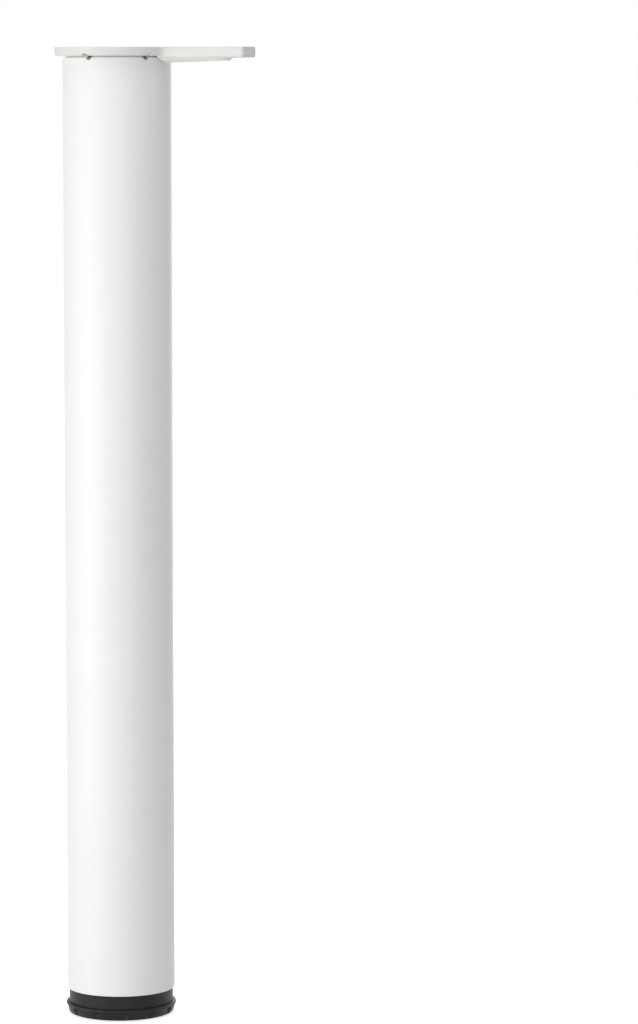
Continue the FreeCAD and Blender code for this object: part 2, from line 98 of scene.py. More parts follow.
def rounded(corners, steps=5):
    """A closed outline from corners of across, up and rounding, with an arc at each rounded one."""
    points = []
    for index, (across, up, rounding) in enumerate(corners):
        here = Vector((across, up))
        if rounding == 0:
            points.append(here)
            continue
        before = (Vector(corners[index - 1][:2]) - here).normalized()
        after = (Vector(corners[(index + 1) % len(corners)][:2]) - here).normalized()
        half = before.angle(after) / 2
        centre = here + (before + after).normalized() * rounding / math.sin(half)
        first = here + before * rounding / math.tan(half) - centre
        last = here + after * rounding / math.tan(half) - centre
        start = math.degrees(math.atan2(first.y, first.x))
        sweep = (math.degrees(math.atan2(last.y, last.x)) - start + 180) % 360 - 180
        points += arc(centre.x, centre.y, rounding, start, start + sweep, steps)
    return points


def finished(name, form, sharp_angle=SHARP_ANGLE):
    """Turn a bmesh in millimetres into an object in metres, smooth but for its sharp edges."""
    bmesh.ops.remove_doubles(form, verts=form.verts, dist=SAME_POINT)
    bmesh.ops.delete(form, geom=[edge for edge in form.edges if edge.is_wire], context="EDGES")
    bmesh.ops.recalc_face_normals(form, faces=form.faces)
    bmesh.ops.scale(form, vec=(MM, MM, MM), verts=form.verts)
    mesh = bpy.data.meshes.new(name)
    form.to_mesh(mesh)
    form.free()
    mesh.shade_smooth()
    mesh.set_sharp_from_angle(angle=sharp_angle)
    piece = bpy.data.objects.new(name, mesh)
    bpy.context.scene.collection.objects.link(piece)
    return piece


def lathe(name, outline, segments, shape_radius=None):
    """Turn a closed outline of radius and height about the leg's axis."""
    form = bmesh.new()
    rings = []
    for radius, height in outline:
        ring = []
        for step in range(segments):
            turn = math.tau * step / segments
            reach = shape_radius(turn, radius, height) if shape_radius else radius
            ring.append(form.verts.new((reach * math.cos(turn), reach * math.sin(turn), height)))
        rings.append(ring)
    for index, ring in enumerate(rings):
        before = rings[index - 1]
        for step in range(segments):
            form.faces.new((before[step - 1], before[step], ring[step], ring[step - 1]))
    return finished(name, form)


def laid_radially(piece, angle, height):
    """Lay a turned piece down so that its axis runs out from the leg's axis at that angle."""
    lay = Matrix.Translation((0, 0, height * MM)) @ Matrix.Rotation(math.radians(angle), 4, "Z")
    piece.data.transform(lay @ Matrix.Rotation(math.radians(90), 4, "Y"))
    return piece


def combine(piece, tools, operation, sharp_angle=SHARP_ANGLE):
    """Join the tools to the piece or cut them from it, and keep only the result."""
    for tool in tools:
        change = piece.modifiers.new("fit", "BOOLEAN")
        change.operation = operation
        change.solver = "EXACT"
        change.object = tool
    graph = bpy.context.evaluated_depsgraph_get()
    result = bpy.data.meshes.new_from_object(piece.evaluated_get(graph))
    piece.modifiers.clear()
    piece.data = result
    for tool in tools:
        bpy.data.objects.remove(tool)
    result.shade_smooth()
    result.set_sharp_from_angle(angle=sharp_angle)
    return piece


def node_of(tree, kind, **settings):
    """A shader node with the named sockets and properties set."""
    node = tree.nodes.new(kind)
    for name, value in settings.items():
        if name in node.inputs:
            node.inputs[name].default_value = value
        else:
            setattr(node, name, value)
    return node


def coat_ripple():
    """Shared effect: the fine ripple of a coat or moulding, as a normal, and its faint cloudiness."""
    group = bpy.data.node_groups.new("coat ripple", "ShaderNodeTree")
    for label, default in (("Ripple per metre", 700.0), ("Ripple depth", 0.00002), ("Cloudiness", 0.02),
                           ("Satin", 0.4)):
        socket = group.interface.new_socket(label, in_out="INPUT", socket_type="NodeSocketFloat")
        socket.default_value = default
    group.interface.new_socket("Colour", in_out="INPUT", socket_type="NodeSocketColor")
    group.interface.new_socket("Colour", in_out="OUTPUT", socket_type="NodeSocketColor")
    group.interface.new_socket("Roughness", in_out="OUTPUT", socket_type="NodeSocketFloat")
    group.interface.new_socket("Normal", in_out="OUTPUT", socket_type="NodeSocketVector")
    start = group.nodes.new("NodeGroupInput")
    end = group.nodes.new("NodeGroupOutput")
    place = group.nodes.new("ShaderNodeTexCoord")
    ripple = node_of(group, "ShaderNodeTexNoise", Detail=2.0, Roughness=0.45)
    bump = node_of(group, "ShaderNodeBump", Strength=1.0)
    clouds = node_of(group, "ShaderNodeTexNoise", Scale=16.0, Detail=3.0)
    shade = node_of(group, "ShaderNodeMath", operation="MULTIPLY")
    darker = node_of(group, "ShaderNodeMath", operation="SUBTRACT", use_clamp=True)
    darker.inputs[0].default_value = 1.0
    tint = node_of(group, "ShaderNodeVectorMath", operation="SCALE")
    gloss = node_of(group, "ShaderNodeMath", operation="MULTIPLY_ADD")
    gloss.inputs[1].default_value = CLOUD_GLOSS
    join = group.links.new
    join(place.outputs["Object"], ripple.inputs["Vector"])
    join(start.outputs["Ripple per metre"], ripple.inputs["Scale"])
    join(ripple.outputs["Fac"], bump.inputs["Height"])
    join(start.outputs["Ripple depth"], bump.inputs["Distance"])
    join(place.outputs["Object"], clouds.inputs["Vector"])
    join(clouds.outputs["Fac"], shade.inputs[0])
    join(start.outputs["Cloudiness"], shade.inputs[1])
    join(shade.outputs[0], darker.inputs[1])
    join(start.outputs["Colour"], tint.inputs[0])
    join(darker.outputs[0], tint.inputs["Scale"])
    join(clouds.outputs["Fac"], gloss.inputs[0])
    join(start.outputs["Satin"], gloss.inputs[2])
    join(tint.outputs[0], end.inputs["Colour"])
    join(gloss.outputs[0], end.inputs["Roughness"])
    join(bump.outputs["Normal"], end.inputs["Normal"])
    return group


def coated(name, colour, ripple_per_metre, depth, cloudiness, satin):
    """A coated or moulded finish that takes its colour, gloss and normal from the ripple group."""
    material = bpy.data.materials.new(name)
    material.use_nodes = True
    tree = material.node_tree
    shader = tree.nodes["Principled BSDF"]
    effect = tree.nodes.new("ShaderNodeGroup")
    effect.node_tree = COAT_RIPPLE
    effect.inputs["Colour"].default_value = colour
    effect.inputs["Ripple per metre"].default_value = ripple_per_metre
    effect.inputs["Ripple depth"].default_value = depth
    effect.inputs["Cloudiness"].default_value = cloudiness
    effect.inputs["Satin"].default_value = satin
    tree.links.new(effect.outputs["Colour"], shader.inputs["Base Color"])
    tree.links.new(effect.outputs["Roughness"], shader.inputs["Roughness"])
    tree.links.new(effect.outputs["Normal"], shader.inputs["Normal"])
    return material


def dress(piece, material, node, body):
    """Close the piece's seams, give it its finish and let it stand for the CAD node on its body."""
    form = bmesh.new()
    form.from_mesh(piece.data)
    bmesh.ops.remove_doubles(form, verts=form.verts, dist=SEAM_WELD)
    form.to_mesh(piece.data)
    form.free()
    piece.data.materials.clear()
    piece.data.materials.append(material)
    flats = piece.modifiers.new("flats", "WEIGHTED_NORMAL")
    flats.keep_sharp = True
    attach(piece, body)
    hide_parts(node)


def span(node):
    """Lowest and highest point of a CAD node, and its largest radius, in millimetres."""
    low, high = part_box(node)
    return low.z / MM, high.z / MM, -low.x / MM


COAT_RIPPLE = coat_ripple()
tube_low, tube_high, tube_r = span("leg_tube")
clamp_level = tube_high + RIM_GAP / 2
tube = lathe("tube", rounded([(tube_r, tube_low, TUBE_EDGE), (tube_r, tube_high, TUBE_EDGE),
                              (tube_r - TUBE_WALL, tube_high, TUBE_EDGE),
                              (tube_r - TUBE_WALL, tube_low, TUBE_EDGE)], 3), TUBE_SEGMENTS)


def key_cutter(radius, start, end, angle):
    """A round cutter along a clamp screw's axis, between two distances from the leg's axis."""
    outline = [Vector(point) for point in ((0, start), (radius, start), (radius, end), (0, end))]
    return laid_radially(lathe("key", outline, HOLE_SEGMENTS), angle, clamp_level)


combine(tube, [key_cutter(KEY_HOLE_R, tube_r - KEY_CUT_REACH, tube_r + KEY_CUT_REACH, angle)
               for angle in CLAMP_ANGLES], "DIFFERENCE")
white_coat = coated("white powder coat", COAT_WHITE, ripple_per_metre=900.0, depth=0.000012,
                    cloudiness=0.012, satin=0.42)
dress(tube, white_coat, "leg_tube", "leg")


# Mounting plate: a zinc die casting under the same kind of white coat, though its colour is set darker
# than the tube's as painted shade, standing for the shade of the tabletop above. A round flange closes the
# leg and carries two arms with a rib under each, which the tabletop is screwed to.
plate_low, plate_high, FLANGE_R = span("mounting_plate")
ARM_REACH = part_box("mounting_plate")[1].x / MM
FLANGE_THICKNESS = 6.5
FLANGE_EDGE = 2.0
TOP_EDGE = 0.5
ARM_WIDTH = 20.0
ARM_THICKNESS = 8.0
ARM_CORNER = 3.0
ARM_EDGE = 1.6
ARM_WEB = 4.0
ARM_TUBE_GAP = 1.0
ARM_ROOT = 30.0
KEEL_SINK = 1.0
RIB_WIDTH = 15.4
RIB_DEPTHS = (11.4, 9.9)
RIB_ROOT_SLANT = 4.0
RIB_BEVEL = 2.4
RIB_SOFTNESS = 1.4
HOLE_TO_TIP = 8.5
RIB_TO_HOLE = 6.5
RIB_CUT_REACH = 5.0
TURNED_SEGMENTS = 192
PLAN_STEPS = 8
FLANGE_STEP = 1.5
ARM_ANGLES = (0, 90)
# The plate's white is set darker than the tube's white: painted shade, standing for the tabletop's shade.
PLATE_WHITE_WITH_PAINTED_SHADE = (0.74, 0.727, 0.708, 1)
flange_under = plate_high - FLANGE_THICKNESS
arm_under = plate_high - ARM_THICKNESS
rib_low = plate_high - RIB_DEPTHS[0]
arm_hole_at = ARM_REACH - HOLE_TO_TIP
rib_end = arm_hole_at - RIB_TO_HOLE
clear_r = tube_r + ARM_TUBE_GAP
PROUD = 1.0


def turned_points(points, angle):
    """Plan points swung about the leg's axis by degrees."""
    turn = Matrix.Rotation(math.radians(angle), 2)
    return [turn @ point for point in points]


def plan_of_plate():
    """Outline in plan, anticlockwise: flange arcs, and arms joined to them by concave corners."""
    half = ARM_WIDTH / 2
    corner_x = math.sqrt((FLANGE_R + ARM_WEB) ** 2 - (half + ARM_WEB) ** 2)
    meet = math.degrees(math.atan2(half + ARM_WEB, corner_x))
    arm = arc(corner_x, -half - ARM_WEB, ARM_WEB, 180 - meet, 90, PLAN_STEPS)
    arm += arc(ARM_REACH - ARM_CORNER, -half + ARM_CORNER, ARM_CORNER, -90, 0, PLAN_STEPS)
    arm += arc(ARM_REACH - ARM_CORNER, half - ARM_CORNER, ARM_CORNER, 0, 90, PLAN_STEPS)
    arm += arc(corner_x, half + ARM_WEB, ARM_WEB, 270, 180 + meet, PLAN_STEPS)
    points = []
    for index, angle in enumerate(ARM_ANGLES):
        following = (ARM_ANGLES + (ARM_ANGLES[0] + 360,))[index + 1]
        points += turned_points(arm, angle)
        steps = round((following - angle) / FLANGE_STEP)
        points += arc(0, 0, FLANGE_R, angle + meet, following - meet, steps)[1:-1]
    return points


def inset(points, distance):
    """Move a closed anticlockwise outline inward, or outward for a negative distance."""
    moved = []
    for index, point in enumerate(points):
        along = ((point - points[index - 1]).normalized()
                 + (points[(index + 1) % len(points)] - point).normalized())
        moved.append(point + Vector((-along.y, along.x)).normalized() * distance)
    return moved


def loft(name, outlines):
    """A closed form through plan outlines of like length, each with a height for every point."""
    form = bmesh.new()
    rings = [[form.verts.new((point.x, point.y, height)) for point, height in zip(points, heights)]
             for points, heights in outlines]
    for below, above in zip(rings, rings[1:]):
        for index in range(len(below)):
            form.faces.new((below[index - 1], below[index], above[index], above[index - 1]))
    form.faces.new(rings[0])
    form.faces.new(rings[-1])
    return finished(name, form)


def slab(name, plan, low, high, low_edge, high_edge, steps=5):
    """A plate of that plan with rounded lower and upper edges; a negative edge flares outward."""
    outlines = []
    for turn in [math.radians(90 * step / steps) for step in range(steps + 1)]:
        level = low + abs(low_edge) * (1 - math.cos(turn))
        outlines.append((inset(plan, low_edge * (1 - math.sin(turn))), [level] * len(plan)))
    for turn in [math.radians(90 * step / steps) for step in range(steps + 1)]:
        level = high - abs(high_edge) * (1 - math.sin(turn))
        outlines.append((inset(plan, high_edge * (1 - math.cos(turn))), [level] * len(plan)))
    return loft(name, outlines)


def swung(piece, angle):
    """The piece swung about the leg's axis by degrees."""
    piece.data.transform(Matrix.Rotation(math.radians(angle), 4, "Z"))
    return piece


def arm_keel():
    """The arm below the flange's level, from inside the flange to its tip."""
    half = ARM_WIDTH / 2
    plan = rounded([(ARM_ROOT, -half, ARM_CORNER), (ARM_REACH, -half, ARM_CORNER),
                    (ARM_REACH, half, ARM_CORNER), (ARM_ROOT, half, ARM_CORNER)], PLAN_STEPS)
    return slab("keel", plan, arm_under, plate_high - KEEL_SINK, ARM_EDGE, 0)


def arm_rib():
    """The rib under an arm: sloping sides, a round end, and an underside that rises towards the tip."""
    half = RIB_WIDTH / 2
    plan = (arc(ARM_ROOT + half, 0, half, 90, 270, 2 * PLAN_STEPS)
            + arc(rib_end - half, 0, half, -90, 90, 2 * PLAN_STEPS))
    rib_start = clear_r + RIB_ROOT_SLANT
    slope = (RIB_DEPTHS[0] - RIB_DEPTHS[1]) / (rib_end - rib_start)
    inner_corners = [(0, half, 0), (half, half, 0), (half, 0, 0)]
    section = rounded([(RIB_BEVEL, 0, RIB_SOFTNESS), (0, RIB_BEVEL, RIB_SOFTNESS)] + inner_corners)
    outlines = []
    for side in section[:-len(inner_corners)]:
        edge = inset(plan, side.x)
        low = rib_low + side.y
        outlines.append((edge, [low + slope * (point.x - rib_start) for point in edge]))
    outlines.append((plan, [flange_under + PROUD] * len(plan)))
    return loft("rib", outlines)


def arm_underside(angle):
    """Keel and rib of one arm, cut back round so that they clear the tube."""
    under = combine(arm_keel(), [arm_rib()], "UNION")
    clear = lathe("clear", [Vector(point) for point in (
        (0, rib_low - RIB_CUT_REACH), (clear_r + RIB_ROOT_SLANT, rib_low - RIB_CUT_REACH),
        (clear_r + RIB_ROOT_SLANT, rib_low), (clear_r, arm_under), (clear_r, flange_under + PROUD),
        (0, flange_under + PROUD))], TURNED_SEGMENTS)
    return swung(combine(under, [clear], "DIFFERENCE"), angle)


plate = slab("plate", plan_of_plate(), flange_under, plate_high, FLANGE_EDGE, TOP_EDGE)
combine(plate, [arm_underside(angle) for angle in ARM_ANGLES], "UNION")


# The plate's hub, cores and holes: a spigot with four screw bosses sits in the leg, pockets lighten the
# top, wood screws go up through countersunk holes, and a channel outside each clamp screw takes the key.
SPIGOT_R = 34.7
SPIGOT_INNER_R = 30.0
RECESS_R = 37.7
RECESS_DEPTH = 4.3
BOSS_R = 6.5
BOSS_START = 22.0
HUB_EDGE = 0.8
CLAMP_R = 4.0
BORE_RUN_IN = 2.5
BORE_RUN_OUT = 0.1
ARM_POCKET = (50.0, 92.0, 7.0)
ARM_POCKET_DEPTH = 4.5
FLANGE_POCKET = (22.5, 32.5)
FLANGE_POCKET_DEPTH = 3.0
FLANGE_POCKET_MARGIN = 20
POCKET_CORNER = 2.5
POCKET_FLOOR_ROUNDING = 0.8
POCKET_FLOOR_STEPS = 4
POCKET_TURN_STEP = 3.0
POCKET_CORNER_STEPS = 5
MOUTH_FLARE = 0.35
WOOD_SCREW_R = 2.75
WOOD_SCREW_HEAD_R = 5.25
HUB_HOLE_AT = 15.0
HUB_HOLE_ANGLES = (45, 135, 225, 315)


def boss(angle):
    """The round lug that a clamp screw is threaded into, from inside the spigot's wall inward."""
    outline = rounded([(0, BOSS_START, 0), (BOSS_R, BOSS_START, HUB_EDGE), (BOSS_R, SPIGOT_R - PROUD, 0),
                       (0, SPIGOT_R - PROUD, 0)])
    return laid_radially(lathe("boss", outline, HOLE_SEGMENTS), angle, clamp_level)


def pocket(plan, depth):
    """A cutter with a rounded floor that flares a little at the plate's top."""
    outlines = []
    for step in range(POCKET_FLOOR_STEPS + 1):
        turn = math.radians(90 * step / POCKET_FLOOR_STEPS)
        level = plate_high - depth + POCKET_FLOOR_ROUNDING * (1 - math.cos(turn))
        outlines.append((inset(plan, POCKET_FLOOR_ROUNDING * (1 - math.sin(turn))), [level] * len(plan)))
    outlines.append((plan, [plate_high - MOUTH_FLARE] * len(plan)))
    outlines.append((inset(plan, -MOUTH_FLARE - PROUD), [plate_high + PROUD] * len(plan)))
    return loft("pocket", outlines)


def arm_pocket():
    """The straight pocket in the top of an arm."""
    start, end, half = ARM_POCKET
    return pocket(rounded([(start, -half, POCKET_CORNER), (end, -half, POCKET_CORNER),
                           (end, half, POCKET_CORNER), (start, half, POCKET_CORNER)]), ARM_POCKET_DEPTH)


def flange_pocket(first, following):
    """A curved slot between two clamp screws, with rounded corners."""
    inner, outer = FLANGE_POCKET
    start = first + FLANGE_POCKET_MARGIN
    end = following - FLANGE_POCKET_MARGIN
    outer_turn = math.degrees(math.asin(POCKET_CORNER / (outer - POCKET_CORNER)))
    inner_turn = math.degrees(math.asin(POCKET_CORNER / (inner + POCKET_CORNER)))
    steps = max(4, round((end - start) / POCKET_TURN_STEP))
    plan = arc(0, 0, outer, start + outer_turn, end - outer_turn, steps)[:-1]
    for distance, turn, first_way, last_way in (
            (outer - POCKET_CORNER, end - outer_turn, end - outer_turn, end + 90),
            (inner + POCKET_CORNER, end - inner_turn, end + 90, end - inner_turn + 180)):
        plan += arc(distance * math.cos(math.radians(turn)), distance * math.sin(math.radians(turn)),
                    POCKET_CORNER, first_way, last_way, POCKET_CORNER_STEPS)
    plan += arc(0, 0, inner, end - inner_turn, start + inner_turn, steps)[1:-1]
    for distance, turn, first_way, last_way in (
            (inner + POCKET_CORNER, start + inner_turn, start + inner_turn + 180, start + 270),
            (outer - POCKET_CORNER, start + outer_turn, start + 270, start + outer_turn + 360)):
        plan += arc(distance * math.cos(math.radians(turn)), distance * math.sin(math.radians(turn)),
                    POCKET_CORNER, first_way, last_way, POCKET_CORNER_STEPS)
    return pocket(plan[:-1], FLANGE_POCKET_DEPTH)


def wood_screw_hole(distance, angle, under):
    """A cutter for one screw, countersunk at the level of the underside."""
    depth = WOOD_SCREW_HEAD_R - WOOD_SCREW_R
    outline = [Vector(point) for point in (
        (0, under - PROUD), (WOOD_SCREW_HEAD_R, under - PROUD), (WOOD_SCREW_HEAD_R, under),
        (WOOD_SCREW_R, under + depth), (WOOD_SCREW_R, plate_high - MOUTH_FLARE),
        (WOOD_SCREW_R + MOUTH_FLARE + PROUD, plate_high + PROUD), (0, plate_high + PROUD))]
    hole = lathe("hole", outline, HOLE_SEGMENTS)
    hole.data.transform(Matrix.Translation((distance * MM, 0, 0)))
    return swung(hole, angle)


recess = lathe("recess", [Vector(point) for point in (
    (SPIGOT_R - PROUD, flange_under - PROUD), (RECESS_R, flange_under - PROUD),
    (RECESS_R, flange_under + RECESS_DEPTH), (SPIGOT_R - PROUD, flange_under + RECESS_DEPTH))],
    TURNED_SEGMENTS)
combine(plate, [recess], "DIFFERENCE")
spigot = lathe("spigot", rounded([
    (SPIGOT_R, plate_low, HUB_EDGE), (SPIGOT_R, flange_under + RECESS_DEPTH + PROUD, 0),
    (SPIGOT_INNER_R, flange_under + RECESS_DEPTH + PROUD, 0), (SPIGOT_INNER_R, plate_low, HUB_EDGE)]),
    TURNED_SEGMENTS)
combine(plate, [spigot] + [boss(angle) for angle in CLAMP_ANGLES], "UNION")
cutters = []
for index, angle in enumerate(CLAMP_ANGLES):
    following = (CLAMP_ANGLES + (CLAMP_ANGLES[0] + 360,))[index + 1]
    cutters.append(flange_pocket(angle, following))
    cutters.append(key_cutter(CLAMP_R, BOSS_START - BORE_RUN_IN, SPIGOT_R + BORE_RUN_OUT, angle))
    cutters.append(key_cutter(KEY_HOLE_R, RECESS_R - PROUD, FLANGE_R + PROUD, angle))
for angle in ARM_ANGLES:
    cutters.append(swung(arm_pocket(), angle))
    cutters.append(wood_screw_hole(arm_hole_at, angle, arm_under))
for angle in HUB_HOLE_ANGLES:
    cutters.append(wood_screw_hole(HUB_HOLE_AT, angle, flange_under))
combine(plate, cutters, "DIFFERENCE")
# The plate's coat colour holds painted shade: it is darker than the tube's white coat of the same kind.
plate_coat_with_painted_shade = coated("plate powder coat with painted shade", PLATE_WHITE_WITH_PAINTED_SHADE, ripple_per_metre=1100.0, depth=0.000015,
                    cloudiness=0.02, satin=0.36)
dress(plate, plate_coat_with_painted_shade, "mounting_plate", "leg")


# Top ring: a turned steel ring welded in the tube's upper end and coated white with it. Its neck stands
# up in the plate's groove, and it has a bevelled hole for each clamp screw.
ring_low, ring_high, ring_r = span("top_ring")
RING_WALL = 4.0
NECK_R = 37.4
SEAT_MOUTH_R = 4.2
RING_EDGE = 0.4
SHOULDER_EDGE = 0.2
NECK_EDGE = 0.5


def clamp_seat(angle):
    """A cutter for the key's hole with the cone that the clamp screw bears on."""
    inner = ring_r - RING_WALL
    outline = [Vector(point) for point in (
        (0, inner - PROUD), (SEAT_MOUTH_R, inner - PROUD), (SEAT_MOUTH_R, inner),
        (KEY_HOLE_R, inner + SEAT_MOUTH_R - KEY_HOLE_R), (KEY_HOLE_R, ring_r + PROUD), (0, ring_r + PROUD))]
    return laid_radially(lathe("seat", outline, HOLE_SEGMENTS), angle, clamp_level)


ring = lathe("ring", rounded([
    (ring_r, ring_low, RING_EDGE), (ring_r, tube_high, SHOULDER_EDGE), (NECK_R, tube_high, 0),
    (NECK_R, ring_high, NECK_EDGE), (ring_r - RING_WALL, ring_high, RING_EDGE),
    (ring_r - RING_WALL, ring_low, RING_EDGE)], 3), TURNED_SEGMENTS)
combine(ring, [clamp_seat(angle) for angle in CLAMP_ANGLES], "DIFFERENCE")
dress(ring, white_coat, "top_ring", "leg")


# Clamp screws: four steel set screws in the bosses, each with the key socket in its bevelled outer end.
# Turned back from outside, they press on the ring and draw the leg up; zinc plated and passivated.
CLAMP_LENGTH = 11.0
CLAMP_PITCH = 1.25
CLAMP_THREAD_DEPTH = 0.6
CLAMP_SOCKET_AF = 4.0
CLAMP_SOCKET_DEPTH = 4.5
CLAMP_END_R = 2.5
CLAMP_POINT = 0.8
THREAD_SHARP = math.radians(50)
CREST_END = 0.06
FLANK_END = 0.44
ROOT_END = 0.56
HEX_SEGMENTS = 96
HEX_FACE_SHARE = 0.475
HEX_TURNED_OFF = math.radians(30)
ENVELOPE_REACH = 0.2
ENVELOPE_RISE = 0.1
clamp_outer = -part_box("clamp_screws")[0].x / MM
ZINC = (0.62, 0.63, 0.62, 1)
BLOTCH_SHADE = 0.82
BLOTCH_GLOSS = 0.06
BLOTCH_DULL = 0.1


def thread_sunk(share):
    """How far the thread has sunk from crest (0) to root (1) at a share of its pitch."""
    if share < FLANK_END:
        fall = (share - CREST_END) / (FLANK_END - CREST_END)
    else:
        fall = (1 - CREST_END - share) / (1 - CREST_END - ROOT_END)
    return min(max(fall, 0.0), 1.0)


def threaded_rod(name, crest_r, depth, pitch, low, high, low_end_r, high_end_r, steps=40):
    """A rod with a helical thread, bevelled at 45 degrees to each end's radius."""
    form = bmesh.new()
    grid = []
    for turn in range(-1, math.ceil((high - low) / pitch) + 1):
        for share in (0.0, CREST_END, FLANK_END, ROOT_END, 1 - CREST_END):
            line = []
            for step in range(steps + 1):
                angle = math.tau * step / steps
                height = min(max(low + (turn + share + step / steps) * pitch, low), high)
                limit = min(low_end_r + height - low, high_end_r + high - height)
                sunk = depth * thread_sunk(((height - low) / pitch - step / steps) % 1)
                radius = min(crest_r - sunk, limit)
                line.append(form.verts.new((radius * math.cos(angle), radius * math.sin(angle), height)))
            grid.append(line)
    for below, above in zip(grid, grid[1:]):
        for step in range(steps):
            form.faces.new((below[step], below[step + 1], above[step + 1], above[step]))
    bmesh.ops.remove_doubles(form, verts=form.verts, dist=SAME_POINT)
    loose = [edge for edge in form.edges if edge.is_boundary]
    bmesh.ops.holes_fill(form, edges=loose, sides=0)
    return finished(name, form, THREAD_SHARP)


def hexagon(name, across_flats, low, high):
    """A plain hexagon prism."""
    corner = Vector((across_flats / math.sqrt(3), 0))
    plan = [turned_points([corner], 60 * side + 30)[0] for side in range(6)]
    return loft(name, [(plan, [low] * len(plan)), (plan, [high] * len(plan))])


def turned_hexagon(name, across_flats, low, high):
    """A hexagon prism whose corners are turned off at both faces, as on a nut."""
    corner_r = across_flats / math.sqrt(3)
    face_r = across_flats * HEX_FACE_SHARE
    reach = corner_r + ENVELOPE_REACH
    drop = (corner_r - face_r) * math.tan(HEX_TURNED_OFF)
    envelope = lathe("envelope", [Vector(point) for point in (
        (0, low), (face_r, low), (reach, low + drop + ENVELOPE_RISE), (reach, high - drop - ENVELOPE_RISE),
        (face_r, high), (0, high))], HEX_SEGMENTS)
    return combine(hexagon(name, across_flats, low, high), [envelope], "INTERSECT")


def plated(name, colour, dull):
    """Zinc-plated steel: bright metal with the blotchy sheen that barrel plating leaves."""
    material = bpy.data.materials.new(name)
    material.use_nodes = True
    tree = material.node_tree
    shader = tree.nodes["Principled BSDF"]
    shader.inputs["Metallic"].default_value = 1.0
    place = tree.nodes.new("ShaderNodeTexCoord")
    blotches = node_of(tree, "ShaderNodeTexNoise", Scale=260.0, Detail=4.0, Roughness=0.6)
    tone = tree.nodes.new("ShaderNodeValToRGB")
    tone.color_ramp.elements[0].color = tuple(BLOTCH_SHADE * value for value in colour[:3]) + (1,)
    tone.color_ramp.elements[1].color = colour
    tone.color_ramp.elements[0].position = 0.3
    tone.color_ramp.elements[1].position = 0.65
    gloss = node_of(tree, "ShaderNodeMapRange")
    gloss.inputs["To Min"].default_value = dull - BLOTCH_GLOSS
    gloss.inputs["To Max"].default_value = dull + BLOTCH_DULL
    tree.links.new(place.outputs["Object"], blotches.inputs["Vector"])
    tree.links.new(blotches.outputs["Fac"], tone.inputs["Fac"])
    tree.links.new(blotches.outputs["Fac"], gloss.inputs["Value"])
    tree.links.new(tone.outputs["Color"], shader.inputs["Base Color"])
    tree.links.new(gloss.outputs["Result"], shader.inputs["Roughness"])
    return material


def clamp_screw(angle):
    """One set screw in its boss, with its key socket towards the outside."""
    screw = threaded_rod("screw", CLAMP_R, CLAMP_THREAD_DEPTH, CLAMP_PITCH, clamp_outer - CLAMP_LENGTH,
                         clamp_outer, CLAMP_R - CLAMP_POINT, CLAMP_END_R)
    socket = hexagon("socket", CLAMP_SOCKET_AF, clamp_outer - CLAMP_SOCKET_DEPTH, clamp_outer + PROUD)
    combine(screw, [socket], "DIFFERENCE", THREAD_SHARP)
    return laid_radially(screw, angle, clamp_level)


def joined(name, pieces):
    """Put like pieces in one object, as their shared node does."""
    form = bmesh.new()
    for piece in pieces:
        form.from_mesh(piece.data)
        bpy.data.objects.remove(piece)
    mesh = bpy.data.meshes.new(name)
    form.to_mesh(mesh)
    form.free()
    whole = bpy.data.objects.new(name, mesh)
    bpy.context.scene.collection.objects.link(whole)
    return whole


zinc = plated("zinc plate", ZINC, dull=0.32)
screws = joined("set_screws", [clamp_screw(angle) for angle in CLAMP_ANGLES])
dress(screws, zinc, "clamp_screws", "leg")


# Nut carrier: a shallow cup pressed from steel sheet and welded in the tube above the foot, rim up.
# The press leaves a generous bend between web and rim.
carrier_low, carrier_high, carrier_r = span("nut_carrier")
CARRIER_WALL = 2.5
CARRIER_HOLE_R = 5.6
CARRIER_BEND = 3.2
CARRIER_INNER_BEND = 1.5
CARRIER_HOLE_EDGE = 0.4
CARRIER_RIM_EDGE = 0.6

carrier = lathe("carrier", rounded([
    (CARRIER_HOLE_R, carrier_low, CARRIER_HOLE_EDGE), (carrier_r, carrier_low, CARRIER_BEND),
    (carrier_r, carrier_high, CARRIER_RIM_EDGE), (carrier_r - CARRIER_WALL, carrier_high, CARRIER_RIM_EDGE),
    (carrier_r - CARRIER_WALL, carrier_low + CARRIER_WALL, CARRIER_INNER_BEND),
    (CARRIER_HOLE_R, carrier_low + CARRIER_WALL, CARRIER_HOLE_EDGE)]), TURNED_SEGMENTS)
dress(carrier, zinc, "nut_carrier", "leg")


# Nuts: a full hexagon nut welded under the carrier's web, which the spindle turns in, and a thin one
# locked on the spindle's end, which stops the foot from being screwed right out.
SPINDLE_R = 5.0
SPINDLE_PITCH = 1.5
SPINDLE_THREAD_DEPTH = 0.8
THREAD_PLAY = 0.1
NUT_AF = 16.0
MOUTH_BEVEL = 0.8
MOUTH_DEPTH = 1.2
BORE_SEGMENTS = 64


def threaded_nut(name, node, bore_r):
    """A hexagon nut over its CAD node, tapped and bevelled at both mouths."""
    low, high, _ = span(node)
    nut = turned_hexagon(name, NUT_AF, low, high)
    tap = threaded_rod("tap", bore_r, SPINDLE_THREAD_DEPTH, SPINDLE_PITCH, low - SPINDLE_PITCH,
                       high + SPINDLE_PITCH, bore_r, bore_r)
    mouths = []
    for face, inward in ((low, 1), (high, -1)):
        mouths.append(lathe("mouth", [Vector(point) for point in (
            (0, face - inward * PROUD), (bore_r + MOUTH_BEVEL, face - inward * PROUD),
            (bore_r + MOUTH_BEVEL, face), (bore_r - MOUTH_BEVEL, face + inward * MOUTH_DEPTH),
            (0, face + inward * MOUTH_DEPTH))], BORE_SEGMENTS))
    return combine(nut, [tap] + mouths, "DIFFERENCE", THREAD_SHARP)


weld_nut = threaded_nut("weld_nut", "spindle_nut", SPINDLE_R + THREAD_PLAY)
dress(weld_nut, zinc, "spindle_nut", "leg")
end_nut = threaded_nut("end_nut", "stop_nut", SPINDLE_R)
dress(end_nut, zinc, "stop_nut", "foot")


